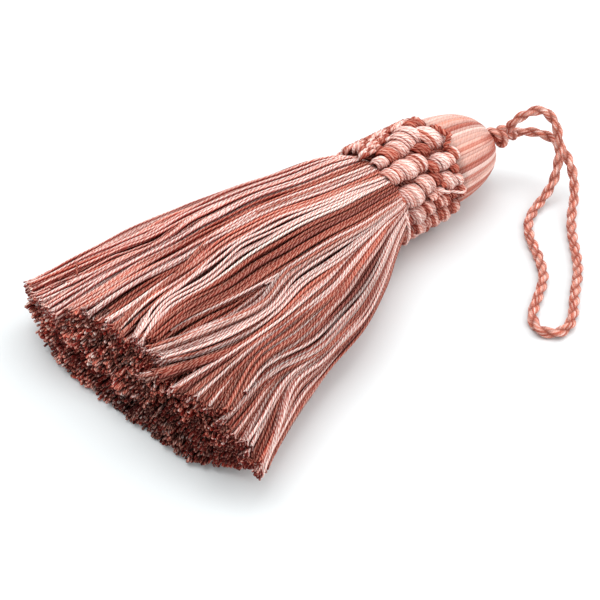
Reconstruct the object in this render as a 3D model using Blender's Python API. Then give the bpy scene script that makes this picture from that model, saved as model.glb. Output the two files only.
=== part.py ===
"""Key tassel lying on a table: a flattened yarn skirt, a worked collar, a yarn-covered head,
a tied knot and a loop of twisted cord. Units are metres, +Z is up and the table is z = 0.

The head, the collar and the skirt's neck share one level axis that runs along X: the head points
to +X and the cut ends of the skirt to -X. Sizes below are taken from the middle of the collar on
that axis, and BODY_MID moves the whole tassel so that the origin lies under the middle of its body.
"""
import math

import bmesh
import bpy
from mathutils import Vector

MM = 0.001
GAP = 0.3 * MM                          # room left between two pieces that touch

# ---- driving dimensions -------------------------------------------------------------------
BODY_MID = (-27.9 * MM, -8.75 * MM)     # middle of the body in plan, seen from the collar's middle
AXIS_Z = 12.9 * MM                      # height of the head's and collar's axis
BORE_R = 9.2 * MM                       # bore of the collar
CORE_R = BORE_R - GAP                   # yarn core inside the collar
NECK_END = -5.5 * MM                    # where the skirt's neck meets the head's core in the bore

COLLAR_R = 11.5 * MM                    # collar between its puffs
PUFF_RISE = 2.2 * MM                    # how far a puff stands out of the collar
PUFF_ROWS = 13                          # rows of puffs round the collar
PUFFS_IN_ROW = 5
COLLAR_STEPS = 20                       # sections along the collar
EDGE_ROUND = 0.8 * MM                   # the collar draws in by this much at both edges
SETTLE = 0.6 * MM                       # the puffs underneath are pressed flat by this much
COLLAR_BACK = -12.6 * MM                # skirt side of the collar, on top
COLLAR_FRONT = 5.8 * MM                 # head side of the collar
COLLAR_SKEW = 2.3 * MM                  # the skirt side leans by this much to the left and right
BACK_CLEAR = 1.3 * GAP                  # from the collar to the skirt, measured along the axis

HEAD_WIDE = 11.25 * MM                  # head where it leaves the collar, half its width
HEAD_HIGH = 10.3 * MM                   # and half its height
HEAD_TIP = 27.6 * MM                    # distance of the head's tip from the collar's middle
HEAD_LEAN = (3.0 * MM, -3.5 * MM)       # how far the tip sits to the left of and above the axis
HEAD_POINT = 0.85                       # 0.5 would be a ball's end, more draws it to a point
HEAD_FLUTES = 18
FLUTE_DEPTH = 0.022                     # share of the radius
TIP_R = 0.9 * MM                        # the last ring of the head

KNOT_MID = (30.05 * MM, -1.15 * MM, 12.1 * MM)
KNOT_R = (3.2 * MM, 2.9 * MM, 3.1 * MM)

CORD_D = 2.4 * MM
CORD_POINTS = 44                        # points of the smooth centre line

SKIRT_REACH = 73.5 * MM                 # length of the skirt outside the collar
SKIRT_SHORT = 0.150                     # the right-hand yarns sweep forward and end this much sooner
SKIRT_AROUND = 84                       # points round one section
SKIRT_STEPS = 22                        # sections along the skirt
SKIRT_TEETH = 21                        # yarn bunches round the cut end
CUT_MID = -81.5 * MM                    # the middle of the cut end stands back from its rim
TOOTH_RISE = 0.5 * MM
TOOTH_CUT = 1.1 * MM                    # how unevenly neighbouring bunches are cut

# Sections of the skirt, from the collar to the cut ends: how far along it is (0 to 1), where its
# middle lies to the left (+) or right (-), its half width, its top, and how square it is.
SECTIONS = (
    # along, side, half, top, square
    (0.00, 0.0, 11.1, 23.2, 2.00),
    (0.06, -0.5, 12.6, 23.0, 2.05),
    (0.13, -0.9, 14.8, 22.7, 2.10),
    (0.26, -2.0, 19.3, 21.8, 2.15),
    (0.43, -3.4, 24.0, 20.4, 2.25),
    (0.65, -3.9, 28.0, 18.8, 2.35),
    (0.84, -6.2, 31.0, 17.6, 2.45),
    (1.00, -8.6, 33.6, 16.4, 2.60),
)

# Main locks of yarn on the skirt: the turn round the section at the collar and at the cut end
# (degrees from the top, positive to the right), half its breadth, how far it stands out, how far
# it sways on its way, and how much longer (+) or shorter (-) it is than the rest.
LOCKS = (
    # start, end, breadth, rise, sway, longer
    (-75.0, -80.0, 10.0, 0.8, 0.0, -1.5),
    (-45.0, -58.0, 9.0, 0.9, -2.0, -0.5),
    (-25.0, -36.0, 9.0, 1.1, 2.0, -1.5),
    (-4.0, -14.0, 8.0, 1.2, -3.0, -3.5),
    (16.0, 6.0, 7.0, 1.6, 5.0, -6.5),
    (34.0, 22.0, 6.0, 1.7, 8.0, 0.5),
    (47.0, 34.0, 7.0, 1.3, 6.0, 2.0),
    (62.0, 48.0, 8.0, 1.3, -4.0, -2.0),
    (78.0, 66.0, 8.0, 1.2, 5.0, 0.0),
    (92.0, 84.0, 9.0, 0.9, 6.0, 1.5),
    (-160.0, -160.0, 35.0, 0.0, 0.0, 2.0),
)

# Route of the cord's centre line: out of the knot, over in an arch, down to the table, along it,
# round the far bend and back under the arch to the knot.
ROUTE = (
    # x, y, z in millimetres
    (29.2, -2.6, 15.5), (29.5, -3.9, 18.0), (31.2, -5.2, 19.8), (33.9, -6.5, 20.1),
    (36.3, -7.8, 19.3), (37.4, -9.6, 17.6), (37.4, -11.3, 15.6), (36.8, -12.7, 13.5),
    (36.1, -13.9, 10.9), (35.0, -14.9, 8.2), (33.0, -15.9, 5.0), (29.7, -16.6, 2.6),
    (25.2, -17.6, 1.5), (20.4, -20.1, 1.25), (16.5, -24.1, 1.25), (13.9, -28.2, 1.25),
    (11.3, -32.0, 1.25), (8.4, -35.3, 1.25), (4.5, -37.9, 1.25), (0.3, -40.2, 1.25),
    (-3.4, -42.6, 1.25), (-5.2, -45.9, 1.25), (-3.7, -48.9, 1.25), (-0.2, -49.5, 1.25),
    (3.9, -47.6, 1.25), (7.6, -44.8, 1.25), (11.6, -41.9, 1.25), (15.6, -39.1, 1.25),
    (19.3, -35.6, 1.25), (22.8, -31.8, 1.25), (26.3, -28.1, 1.4), (30.1, -24.8, 2.2),
    (33.5, -22.3, 3.6), (35.7, -20.0, 5.6), (37.2, -17.7, 7.5), (38.2, -15.0, 9.3),
    (38.7, -12.2, 10.7), (38.4, -9.7, 11.8), (37.4, -7.4, 12.4), (35.6, -5.2, 12.7),
    (33.3, -3.1, 12.5),
)


# ---- small helpers ------------------------------------------------------------------------
def slope(rows, place, column):
    """Rise of one column of a table at one of its rows, from the rows on both sides."""
    low = rows[max(place - 1, 0)]
    high = rows[min(place + 1, len(rows) - 1)]
    return (high[column] - low[column]) / (high[0] - low[0])


def blend(rows, along, column):
    """Read one column of a table at a place between its rows, on a smooth curve through them."""
    place = 0
    while place < len(rows) - 2 and along > rows[place + 1][0]:
        place += 1
    low = rows[place]
    high = rows[place + 1]
    span = high[0] - low[0]
    t = (along - low[0]) / span
    start = slope(rows, place, column) * span
    end = slope(rows, place + 1, column) * span
    return ((2.0 * t ** 3 - 3.0 * t ** 2 + 1.0) * low[column] + (t ** 3 - 2.0 * t ** 2 + t) * start
            + (3.0 * t ** 2 - 2.0 * t ** 3) * high[column] + (t ** 3 - t ** 2) * end)


def signed_power(value, power):
    return math.copysign(abs(value) ** power, value)


def turn_apart(a, b):
    """Smallest difference of two turns, in degrees."""
    return (a - b + 180.0) % 360.0 - 180.0


def to_world(x, y, z):
    """From the collar's middle to the tassel's own frame."""
    return Vector((x - BODY_MID[0], y - BODY_MID[1], z))


def make_material(name, colour, roughness):
    material = bpy.data.materials.new(name)
    material.use_nodes = True
    shader = material.node_tree.nodes["Principled BSDF"]
    shader.inputs["Base Color"].default_value = (*colour, 1.0)
    shader.inputs["Roughness"].default_value = roughness
    shader.inputs["Metallic"].default_value = 0.0
    return material


def add_object(name, data, material):
    item = bpy.data.objects.new(name, data)
    data.materials.append(material)
    bpy.context.scene.collection.objects.link(item)
    return item


def loft(name, rings, material, first_mid, last_mid):
    """Skin a row of closed rings and close both ends with a fan to one middle point."""
    build = bmesh.new()
    rows = [[build.verts.new(to_world(*point)) for point in ring] for ring in rings]
    count = len(rows[0])
    for row, following in zip(rows, rows[1:]):
        for i in range(count):
            j = (i + 1) % count
            build.faces.new((row[i], row[j], following[j], following[i]))
    start = build.verts.new(to_world(*first_mid))
    finish = build.verts.new(to_world(*last_mid))
    for i in range(count):
        j = (i + 1) % count
        build.faces.new((start, rows[0][j], rows[0][i]))
        build.faces.new((finish, rows[-1][i], rows[-1][j]))
    return finish_mesh(name, build, material)


def finish_mesh(name, build, material):
    bmesh.ops.recalc_face_normals(build, faces=build.faces)
    mesh = bpy.data.meshes.new(name)
    build.to_mesh(mesh)
    build.free()
    mesh.shade_smooth()
    mesh.set_sharp_from_angle(angle=math.radians(50.0))
    return add_object(name, mesh, material)


# ---- skirt --------------------------------------------------------------------------------
def skirt_point(along, turn, inward=1.0):
    """A point of the skirt: along 0 to 1, turn in degrees from the top to the right, and inward
    1 on the outside down to 0 in the middle of the section."""
    side = blend(SECTIONS, along, 1) * MM
    half = blend(SECTIONS, along, 2) * MM
    top = blend(SECTIONS, along, 3) * MM
    power = 2.0 / blend(SECTIONS, along, 4)
    mid_z = AXIS_Z + (0.47 * top - AXIS_Z) * min(1.0, along / 0.2)
    rise = top - mid_z
    angle = math.radians(turn)
    across = -signed_power(math.sin(angle), power)
    upward = signed_power(math.cos(angle), power)

    swell = 0.0
    longer = 0.0
    for start, end, breadth, height, sway, extra in LOCKS:
        centre = start + (end - start) * along + sway * math.sin(2.0 * math.pi * along)
        near = math.exp(-(turn_apart(turn, centre) / breadth) ** 2)
        swell += near * height * MM * min(1.0, 2.5 * along)
        longer += near * extra * MM
    teeth = math.cos(math.radians(SKIRT_TEETH * turn))
    swell += teeth * TOOTH_RISE * min(1.0, 1.5 * along)
    longer += math.cos(math.radians(SKIRT_TEETH * turn * 0.5)) * TOOTH_CUT

    reach = SKIRT_REACH * (1.0 - SKIRT_SHORT * max(0.0, -across) ** 1.5) + longer * along ** 3
    back = COLLAR_BACK + COLLAR_SKEW * math.sin(angle) - BACK_CLEAR
    x = back - (reach + back - COLLAR_BACK) * along
    y = side + (half + swell) * across * inward
    z = mid_z + (rise + swell) * upward * inward
    return x, y, max(z, 0.0)


def make_skirt(material):
    turns = [360.0 * i / SKIRT_AROUND for i in range(SKIRT_AROUND)]
    plug = [(CORE_R * math.sin(math.radians(t)), CORE_R * math.cos(math.radians(t))) for t in turns]
    rings = [[(NECK_END, -y, AXIS_Z + z) for y, z in plug]]
    rings.append([(skirt_point(0.0, t)[0], -y, AXIS_Z + z) for t, (y, z) in zip(turns, plug)])
    for step in range(SKIRT_STEPS + 1):
        along = (step / SKIRT_STEPS) ** 1.15
        rings.append([skirt_point(along, t) for t in turns])
    end_mid = skirt_point(1.0, 0.0, 0.0)
    for inward in (0.72, 0.4):
        ring = []
        for t in turns:
            rim = skirt_point(1.0, t)
            inner = skirt_point(1.0, t, inward)
            ring.append((CUT_MID + (rim[0] - CUT_MID) * inward, inner[1], max(inner[2], 0.0)))
        rings.append(ring)
    neck_mid = (NECK_END, 0.0, AXIS_Z)
    return loft("skirt", rings, material, neck_mid, (CUT_MID, end_mid[1], end_mid[2]))


# ---- collar -------------------------------------------------------------------------------
def collar_radius(x, turn):
    """Outside of the collar: rows of puffs along X, each row half a step round from the next."""
    back = COLLAR_BACK + COLLAR_SKEW * math.sin(math.radians(turn))
    along = (x - back) / (COLLAR_FRONT - back)
    row = math.cos(math.radians(PUFF_ROWS * turn - 145.0 - 70.0 * along))
    puff = math.cos(2.0 * math.pi * (PUFFS_IN_ROW * along - 0.5))
    hump = 0.5 + 0.25 * row + 0.25 * puff
    edge = math.sin(math.pi * min(1.0, max(0.0, along))) ** 0.5
    belly = 1.0 - 0.06 * (2.0 * along - 0.75) ** 2
    pressed = SETTLE * max(0.0, -math.cos(math.radians(turn))) ** 4
    return COLLAR_R * belly - EDGE_ROUND * (1.0 - edge) + (PUFF_RISE * hump + pressed) * edge


def make_collar(material):
    around = PUFF_ROWS * 6
    steps = COLLAR_STEPS
    turns = [math.radians(360.0 * i / around) for i in range(around)]
    rings = []
    for step in range(steps + 1):
        ring = []
        for turn in turns:
            back = COLLAR_BACK + COLLAR_SKEW * math.sin(turn)
            x = back + (COLLAR_FRONT - back) * step / steps
            radius = collar_radius(x, math.degrees(turn))
            ring.append((x, -radius * math.sin(turn), max(AXIS_Z + radius * math.cos(turn), 0.0)))
        rings.append(ring)
    for x_front in (True, False):
        ring = []
        for turn in turns:
            x = COLLAR_FRONT if x_front else COLLAR_BACK + COLLAR_SKEW * math.sin(turn)
            ring.append((x, -BORE_R * math.sin(turn), AXIS_Z + BORE_R * math.cos(turn)))
        rings.append(ring)

    build = bmesh.new()
    rows = [[build.verts.new(to_world(*point)) for point in ring] for ring in rings]
    for row, following in zip(rows, rows[1:] + rows[:1]):
        for i in range(around):
            j = (i + 1) % around
            build.faces.new((row[i], row[j], following[j], following[i]))
    return finish_mesh("collar", build, material)


# ---- head ---------------------------------------------------------------------------------
def make_head(material):
    """A domed head with a core that runs back through the collar, fluted by its yarns."""
    around = HEAD_FLUTES * 2
    front = COLLAR_FRONT + GAP
    stem_back = NECK_END + GAP
    profile = [(stem_back, CORE_R, CORE_R, 0.0), (front, CORE_R, CORE_R, 0.0)]
    steps = 10
    for step in range(steps + 1):
        bow = step / steps * math.pi / 2.0
        x = front + (HEAD_TIP - front) * math.sin(bow)
        size = max(math.cos(bow), 0.0) ** HEAD_POINT
        profile.append((x, max(HEAD_WIDE * size, TIP_R), max(HEAD_HIGH * size, TIP_R), FLUTE_DEPTH))
    rings = []
    for x, wide, high, flute in profile:
        lean = max(0.0, (x - front) / (HEAD_TIP - front)) ** 2
        ring = []
        for i in range(around):
            turn = 2.0 * math.pi * i / around
            scale = 1.0 - flute * (i % 2)
            ring.append((x, HEAD_LEAN[0] * lean - scale * wide * math.sin(turn),
                         AXIS_Z + HEAD_LEAN[1] * lean + scale * high * math.cos(turn)))
        rings.append(ring)
    tip = (HEAD_TIP + 0.1 * MM, HEAD_LEAN[0], AXIS_Z + HEAD_LEAN[1])
    return loft("head", rings, material, (stem_back, 0.0, AXIS_Z), tip)


# ---- knot and loop ------------------------------------------------------------------------
def make_knot(material):
    """A tied knot: a ball with two slanting wraps of cord."""
    around = 16
    steps = 10
    mid = Vector(KNOT_MID)
    rings = []
    for step in range(1, steps):
        lean = math.pi * step / steps
        ring = []
        for i in range(around):
            turn = 2.0 * math.pi * i / around
            wrap = 1.0 + 0.07 * math.cos(2.0 * turn + 3.0 * lean)
            ring.append((mid.x - KNOT_R[0] * math.cos(lean) * wrap,
                         mid.y - KNOT_R[1] * math.sin(lean) * math.sin(turn) * wrap,
                         mid.z + KNOT_R[2] * math.sin(lean) * math.cos(turn) * wrap))
        rings.append(ring)
    near = (mid.x - KNOT_R[0], mid.y, mid.z)
    far = (mid.x + KNOT_R[0], mid.y, mid.z)
    return loft("knot", rings, material, near, far)


def smooth_route(points, count):
    """Points evenly spaced along a Catmull-Rom curve through the route's own points."""
    ends = [points[0] * 2.0 - points[1]] + points + [points[-1] * 2.0 - points[-2]]
    fine = []
    for a, b, c, d in zip(ends, ends[1:], ends[2:], ends[3:]):
        for k in range(12):
            t = k / 12.0
            fine.append(0.5 * (2.0 * b + (c - a) * t + (2.0 * a - 5.0 * b + 4.0 * c - d) * t ** 2
                               + (3.0 * b - a - 3.0 * c + d) * t ** 3))
    fine.append(points[-1])
    lengths = [0.0]
    for a, b in zip(fine, fine[1:]):
        lengths.append(lengths[-1] + (b - a).length)
    even = []
    place = 0
    for k in range(count):
        wanted = lengths[-1] * k / (count - 1)
        while place < len(fine) - 2 and lengths[place + 1] < wanted:
            place += 1
        part = (wanted - lengths[place]) / (lengths[place + 1] - lengths[place])
        even.append(fine[place].lerp(fine[place + 1], part))
    return even


def make_loop(material):
    route = [to_world(x * MM, y * MM, z * MM) for x, y, z in ROUTE]
    centre_line = smooth_route(route, CORD_POINTS)
    curve = bpy.data.curves.new("loop", "CURVE")
    curve.dimensions = "3D"
    curve.bevel_depth = CORD_D / 2.0
    curve.bevel_resolution = 2
    curve.use_fill_caps = True
    spline = curve.splines.new("POLY")
    spline.points.add(len(centre_line) - 1)
    for point, place in zip(spline.points, centre_line):
        point.co = (*place, 1.0)
    spline.use_smooth = True
    return add_object("loop", curve, material)


def main():
    for item in list(bpy.data.objects):
        bpy.data.objects.remove(item, do_unlink=True)
    make_skirt(make_material("skirt yarn", (0.52, 0.20, 0.14), 0.55))
    make_collar(make_material("collar yarn", (0.66, 0.34, 0.26), 0.5))
    make_head(make_material("head yarn", (0.72, 0.42, 0.34), 0.5))
    make_knot(make_material("knot cord", (0.50, 0.18, 0.12), 0.6))
    make_loop(make_material("loop cord", (0.55, 0.20, 0.14), 0.6))


main()
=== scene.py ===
import math

import bpy
import numpy as np
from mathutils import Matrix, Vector


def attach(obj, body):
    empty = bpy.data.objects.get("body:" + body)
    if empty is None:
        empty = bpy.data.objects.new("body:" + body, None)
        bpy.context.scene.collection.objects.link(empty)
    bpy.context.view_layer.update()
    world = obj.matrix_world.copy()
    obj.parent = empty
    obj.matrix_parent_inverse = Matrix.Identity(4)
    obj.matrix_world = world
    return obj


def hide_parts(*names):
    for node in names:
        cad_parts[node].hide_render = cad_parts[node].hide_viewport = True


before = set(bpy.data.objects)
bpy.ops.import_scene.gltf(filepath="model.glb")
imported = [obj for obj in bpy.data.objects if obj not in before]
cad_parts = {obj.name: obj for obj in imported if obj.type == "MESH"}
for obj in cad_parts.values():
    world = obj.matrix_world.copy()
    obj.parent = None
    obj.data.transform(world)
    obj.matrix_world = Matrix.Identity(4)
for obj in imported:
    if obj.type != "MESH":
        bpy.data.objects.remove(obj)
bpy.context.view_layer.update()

mm = 0.001
fromCollar = np.array([27.9, 8.75, 0.0])  # the collar's middle, seen from the tassel's own middle
axisHeight = 12.9                         # mm, axis of the head and the collar over the table
scene = bpy.context.scene


# Camera, light and table
stageSet = {
    "aim": (-39.256, 42.0),                 # degrees round the object and above the table
    "spot": (-122.846, -135.719, 161.067),  # mm
    "lens": 66.0,
    "floorSize": 2.4,
    # name, place and size in metres, and power
    "lights": (("window", (0.67, -0.28, 0.8), 1.0, 5.2), ("overhead", (-0.05, 0.15, 0.95), 0.8, 5.2),
               ("right fill", (0.2, -0.85, 0.5), 1.0, 1.2)),
    "room": 0.76,
}


def addObject(name, data):
    item = bpy.data.objects.new(name, data)
    scene.collection.objects.link(item)
    return item


def makeCamera(v):
    data = bpy.data.cameras.new("camera")
    data.lens = v["lens"]
    data.clip_start = 0.01
    camera = addObject("camera", data)
    round_, above = v["aim"]
    camera.location = [p * mm for p in v["spot"]]
    camera.rotation_euler = (math.radians(90.0 - above), 0.0, math.radians(round_))
    scene.camera = camera


makeCamera(stageSet)
print("camera placed")


# Arrays broadcast together and stacked along a new last axis
def together(*arrays):
    return np.stack(np.broadcast_arrays(*arrays), -1)


# Hermite curve through the places, carried on straight beyond both ends
def smoothTable(x, places, values):
    places, values = np.asarray(places, float), np.asarray(values, float)
    rise = np.gradient(values, places)
    inside = np.clip(x, places[0], places[-1])
    i = np.clip(np.searchsorted(places, inside, side="right") - 1, 0, len(places) - 2)
    h = places[i + 1] - places[i]
    t = (inside - places[i]) / h
    curve = ((2 * t ** 3 - 3 * t ** 2 + 1) * values[i] + (t ** 3 - 2 * t ** 2 + t) * rise[i] * h
             + (3 * t ** 2 - 2 * t ** 3) * values[i + 1] + (t ** 3 - t ** 2) * rise[i + 1] * h)
    return curve + np.where(x > inside, rise[-1], rise[0]) * (x - inside)


# 0 below low, 1 above high, an S-curve between
def ease(x, low, high):
    t = np.clip((x - low) / (high - low), 0, 1)
    return t * t * (3.0 - 2.0 * t)


def signedPower(v, power):
    return np.sign(v) * np.abs(v) ** power


def unit(v):
    return v / np.maximum(np.linalg.norm(v, axis=-1, keepdims=True), 1e-12)


# How far along its line each point is
def farAlong(line):
    steps = np.linalg.norm(np.diff(line, axis=-2), axis=-1)
    return np.concatenate([0.0 * steps[..., :1], np.cumsum(steps, -1)], -1)


# Catmull-Rom curve through the points, read off at count even distances, and its length
def evenLine(points, count):
    p = np.asarray(points, float)
    ends = np.vstack([2 * p[0] - p[1], p, 2 * p[-1] - p[-2]])
    a, b, c, d = ends[:-3, None], ends[1:-2, None], ends[2:-1, None], ends[3:, None]
    t = (np.arange(16) / 16)[None, :, None]
    fine = 0.5 * (2 * b + (c - a) * t + (2 * a - 5 * b + 4 * c - d) * t ** 2
                  + (3 * b - a - 3 * c + d) * t ** 3)
    fine = np.vstack([fine.reshape(-1, p.shape[1]), p[-1:]])
    far = farAlong(fine)
    wanted = np.linspace(0.0, far[-1], count)
    return np.stack([np.interp(wanted, far, column) for column in fine.T], -1), far[-1]


# A line's direction and, square to it, its outward direction and the one across both
def axesAlong(line, outward):
    along = unit(np.gradient(line, axis=-2))
    out = unit(outward - np.sum(outward * along, -1, keepdims=True) * along)
    return along, out, np.cross(along, out)


# Tubes carried along n paths of m points in mm: each ring is path + radius x (cos turn x out + sin turn
# x across). Both ends are closed by a fan whose middle takes the tip's shade.
def sweep(path, outward, radius, shade, sides=6, flat=1.0, tipShade=0.8, tipOut=0.35):
    n, m, _ = path.shape
    along, out, across = axesAlong(path, outward)
    turn = 2 * np.pi * np.arange(sides)[:, None] / sides
    ring = np.cos(turn) * out[:, :, None] * flat + np.sin(turn) * across[:, :, None]
    verts = path[:, :, None] + radius[:, :, None, None] * ring
    caps = np.stack([path[:, 0] - along[:, 0] * radius[:, :1] * tipOut,
                     path[:, -1] + along[:, -1] * radius[:, -1:] * tipOut], 1)
    # a corner's vertex and its place on the yarn as (round, along), by ring and side
    far, k = farAlong(path), np.arange(n)[:, None, None]
    vertex = lambda ring, side: (k * m + ring) * sides + side % sides
    place = lambda ring, side: together(side / sides, far[k, ring])
    i, j = np.ogrid[:m - 1, :sides]
    quad = ((i, j), (i, j + 1), (i + 1, j + 1), (i + 1, j))
    quads = together(*(vertex(*corner) for corner in quad))
    wrap = np.stack([place(*corner) for corner in quad], -2)
    fans, fanWrap = [], []
    for end, ring, pair, beyond in ((0, 0, (j + 1, j), -0.4), (1, m - 1, (j, j + 1), 0.4)):
        cap = n * m * sides + 2 * k + end
        fans.append(together(cap, *(vertex(ring, side) for side in pair)))
        tip = together((j + 0.5) / sides, far[k, ring] + beyond)
        fanWrap.append(np.stack([tip] + [place(ring, side) for side in pair], -2))
    fans, fanWrap = np.stack(fans, 1), np.stack(fanWrap, 1)
    return {
        "verts": np.vstack([verts.reshape(-1, 3), caps.reshape(-1, 3)]),
        "loops": np.concatenate([quads.ravel(), fans.ravel()]),
        "sizes": np.repeat([4, 3], [quads.size // 4, fans.size // 3]),
        "wrap": np.vstack([wrap.reshape(-1, 2), fanWrap.reshape(-1, 2)]),
        "row": np.concatenate([np.repeat(np.arange(n), group.size // n) for group in (quads, fans)]),
        "shade": np.vstack([np.repeat(shade.reshape(-1, 3), sides, 0),
                            (shade[:, [0, -1]] * tipShade).reshape(-1, 3)]),
        "yarns": n, "whole": far.max() + 2.0,
    }


# Joins swept parts into one mesh with its yarn UV map, its baking strips and its shade
def makePiece(name, parts, material, nodes):
    verts, sizes, wraps, shade = (np.concatenate([p[key] for p in parts])
                                  for key in ("verts", "sizes", "wrap", "shade"))
    vertsBefore = np.cumsum([0] + [len(p["verts"]) for p in parts])
    yarnsBefore = np.cumsum([0] + [p["yarns"] for p in parts])
    loops = np.concatenate([p["loops"] + before for p, before in zip(parts, vertsBefore)])
    rows = np.concatenate([p["row"] + before for p, before in zip(parts, yarnsBefore)])
    total, whole = yarnsBefore[-1], max(p["whole"] for p in parts)
    fill = lambda target, field, values, kind=np.float32: target.foreach_set(
        field, np.ravel(values).astype(kind))
    mesh = bpy.data.meshes.new(name)
    mesh.vertices.add(len(verts))
    fill(mesh.vertices, "co", verts * mm + fromCollar * mm)
    mesh.loops.add(len(loops))
    fill(mesh.loops, "vertex_index", loops, np.int32)
    mesh.polygons.add(len(sizes))
    fill(mesh.polygons, "loop_start", np.cumsum(sizes) - sizes, np.int32)
    mesh.update(calc_edges=True)
    started = wraps + together(0.0 * rows, (rows * 0.7313) % 1.0 * 9.0)  # no two twists in step
    strip = together((wraps[:, 1] + 1.0) / (whole + 1.0), (rows + 0.08 + 0.84 * wraps[:, 0]) / total)
    fill(mesh.uv_layers.new(name="yarn").data, "uv", started)
    fill(mesh.uv_layers.new(name="OFBake").data, "uv", strip)
    colour = np.hstack([np.minimum(shade, 1.0), np.ones((len(shade), 1))])
    fill(mesh.attributes.new("shade", "FLOAT_COLOR", "POINT").data, "color", colour)
    mesh.shade_smooth()
    mesh.materials.append(material)
    item = addObject(name, mesh)
    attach(item, "root")
    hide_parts(*nodes)
    print(f"{name}: {np.sum(sizes - 2)} triangles, {total} yarns")
    return item


# Materials
# A number that flows through a material; the operators add its Math nodes
class Value:
    def __init__(self, kit, socket):
        self.kit = kit
        self.socket = socket

    def math(self, operation, *others):
        return self.kit.calculate(operation, self, *others)

    def __rsub__(self, other):
        return self.kit.calculate("SUBTRACT", other, self)


for sign, operation in (("add", "ADD"), ("sub", "SUBTRACT"), ("mul", "MULTIPLY"), ("truediv", "DIVIDE"),
                        ("pow", "POWER")):
    setattr(Value, f"__{sign}__", lambda self, other, operation=operation: self.math(operation, other))


# Builds one material, node by node
class Finish:
    def __init__(self, name):
        self.material = bpy.data.materials.new(name)
        self.material.use_nodes = True
        self.tree = self.material.node_tree
        self.shader = self.tree.nodes["Principled BSDF"]

    def feed(self, socket, value):
        value = value.socket if isinstance(value, Value) else value
        if isinstance(value, bpy.types.NodeSocket):
            self.tree.links.new(value, socket)
        else:
            socket.default_value = value

    def node(self, kind, settings=None, inputs=None):
        made = self.tree.nodes.new(kind)
        for key, value in (settings or {}).items():
            setattr(made, key, value)
        for key, value in (inputs or {}).items():
            self.feed(made.inputs[key], value)
        return made

    def set(self, **sockets):
        for name, value in sockets.items():
            self.feed(self.shader.inputs[name.replace("_", " ")], value)

    def calculate(self, operation, *numbers):
        made = self.node("ShaderNodeMath", {"operation": operation}, dict(enumerate(numbers)))
        return Value(self, made.outputs[0])

    def noise(self, vector, scale, detail):
        made = self.node("ShaderNodeTexNoise", inputs={"Vector": vector, "Scale": scale, "Detail": detail})
        return Value(self, made.outputs[0])

    def vector(self, x, y, z):
        return self.node("ShaderNodeCombineXYZ", inputs={0: x, 1: y, 2: z}).outputs[0]

    def mix(self, factor, one, two, kind="MIX"):
        made = self.node("ShaderNodeMix", {"data_type": "RGBA", "blend_type": kind},
                         {0: factor, 6: one, 7: two})
        return made.outputs[2]


# Twisted yarn: count plies wind round it, height = |cos(pi x (length / pitch + count x round))|, with
# fine fibres along each ply. Painted shade darkens it between the plies and from its outer side, where
# cos(2 pi x round) is 1, to the sides that touch its neighbours. A painted glint lies on its outer ridges,
# and cloud changes slowly all over.
def yarnFinish(name, groove, sideShade, strength, deep, paintedGlint, rough, tip, pitch=1.15, count=3.0):
    kit = Finish(name)
    wrap = kit.node("ShaderNodeUVMap", {"uv_map": "yarn"}).outputs[0]
    wrap = kit.node("ShaderNodeSeparateXYZ", inputs={0: wrap}).outputs
    around, along = Value(kit, wrap[0]), Value(kit, wrap[1])
    drift = kit.noise(kit.vector(along, 0.0, 0.0), 0.35, 1.0)
    phase = along / pitch + around * count + drift * 3.0
    ply = (phase * math.pi).math("COSINE").math("ABSOLUTE")
    fibre = kit.noise(kit.vector(phase * 2.0, around * 9.0 - along * 1.5, along * 0.15), 2.2, 2.0)
    cloud = kit.noise(kit.node("ShaderNodeTexCoord").outputs["Object"], 260.0, 3.0)
    shade = kit.node("ShaderNodeAttribute", {"attribute_name": "shade"}).outputs["Color"]
    # painted shade: lit on its outer side, darker towards the sides that touch its neighbours
    outer = (around * (2.0 * math.pi)).math("COSINE")
    opened = ((outer + 0.45) / 1.25).math("MAXIMUM", 0.0).math("MINIMUM", 1.0)
    # painted shade in the grooves between the plies, stronger where cloud is high
    mark = (cloud * 3.0 - 0.7).math("MAXIMUM", 0.4).math("MINIMUM", 1.0) * groove
    lit = ply * mark + (1 - mark)
    tone = lit * (fibre * 0.45 + 0.8) * (cloud * 0.9 + 0.6)
    tone = (tone * (opened * sideShade + (1 - sideShade))).math("MINIMUM", 1.0)
    # painted shade turns redder as it darkens
    colour = kit.mix(1.0, shade, kit.vector(tone, tone ** 2.4, tone ** 2.5), "MULTIPLY")
    # painted glint: on the ridges of its outer side the colour is mixed towards a paler version of the dye
    glint = (ply ** 3.0) * opened * fibre * paintedGlint
    bright = kit.node("ShaderNodeGamma", inputs={0: shade, 1: 0.42}).outputs[0]
    glintedColour = kit.mix(glint, colour, kit.mix(tip, shade, bright))
    bump = kit.node("ShaderNodeBump", inputs={"Strength": strength, "Distance": deep * mm,
                                              "Height": ply + fibre * 0.5}).outputs[0]
    kit.set(Base_Color=glintedColour, Roughness=rough - ply * 0.14, Normal=bump, Specular_IOR_Level=0.12)
    return kit.material


# Dyes of the yarns: white, pink, mid pink, salmon, terracotta, deep terracotta and greyish pink
dyes = {
    "w": (0.98, 0.7, 0.62), "p": (0.9, 0.5, 0.405), "m": (0.78, 0.305, 0.215), "s": (0.56, 0.135, 0.08),
    "t": (0.36, 0.06, 0.032), "h": (0.22, 0.033, 0.02), "g": (0.64, 0.36, 0.3),
}

# this also sets the skirt yarn's painted shade and painted glint
skirtFinish = yarnFinish("skirt yarn", pitch=1.12, groove=0.54, sideShade=0.62, strength=0.8, deep=0.16,
                         paintedGlint=1.25, rough=0.6, tip=1.0)
print("materials made")


# One dye a yarn, the letters shared out over count yarns
def dyed(letters, count):
    return np.array([dyes[letters[k * len(letters) // count]] for k in range(count)])[:, None]
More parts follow.
